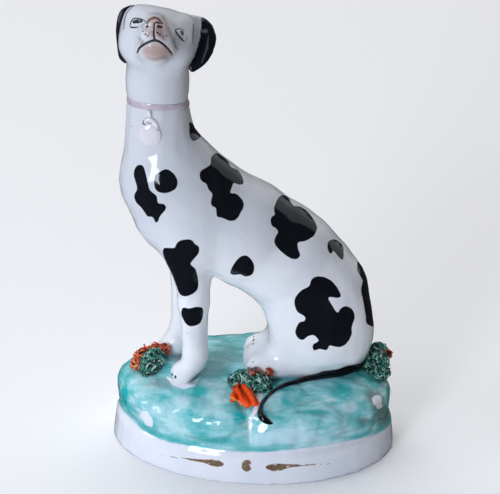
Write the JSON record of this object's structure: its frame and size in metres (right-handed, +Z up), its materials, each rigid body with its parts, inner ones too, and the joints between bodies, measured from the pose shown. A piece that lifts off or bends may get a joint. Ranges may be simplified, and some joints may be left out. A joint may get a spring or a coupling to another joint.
{
  "type": "earthenware hound figure",
  "caption": "Glazed earthenware ornament: a seated spotted hound with its head turned to the viewer, collar and padlock, on a hollow oval rockwork base with grass and flowers.",
  "frame": {"origin": "on the floor, under the middle of the oval base", "axes": "+X along the length of the base towards the hound's rump, +Y away from the side that its face is turned to, +Z up"},
  "size_m": [0.105, 0.069, 0.1696],
  "materials": {
    "rockwork_glaze": "glossy green and turquoise wash over white glaze, plain white plinth",
    "white_glaze": "glossy white lead glaze with painted black spots and fine crazing",
    "black_enamel": "glossy black enamel",
    "lustre_band": "worn pink-brown lustre",
    "grass_enamel": "glossy green enamel",
    "orange_enamel": "glossy orange enamel",
    "red_enamel": "glossy red-brown enamel",
    "bare_clay": "unglazed earthenware"
  },
  "bodies": {
    "root": {"base_shell": "rockwork_glaze", "base_closing_slab": "bare_clay", "body_left_half": "white_glaze", "body_right_half": "white_glaze", "head_face_half": "white_glaze", "head_back_half": "white_glaze", "left_ear": "black_enamel", "right_ear": "black_enamel", "left_foreleg": "white_glaze", "right_foreleg": "white_glaze", "collar": "lustre_band", "padlock": "white_glaze", "padlock_link": "lustre_band", "tail": "black_enamel", "left_grass_tuft": "grass_enamel", "left_flower_shreds": "orange_enamel", "front_grass_tuft": "grass_enamel", "front_flower_petal": "orange_enamel", "front_flower_shreds": "red_enamel", "rear_grass_tuft": "grass_enamel", "rear_flower_shreds": "red_enamel"}
  },
  "joints": []
}
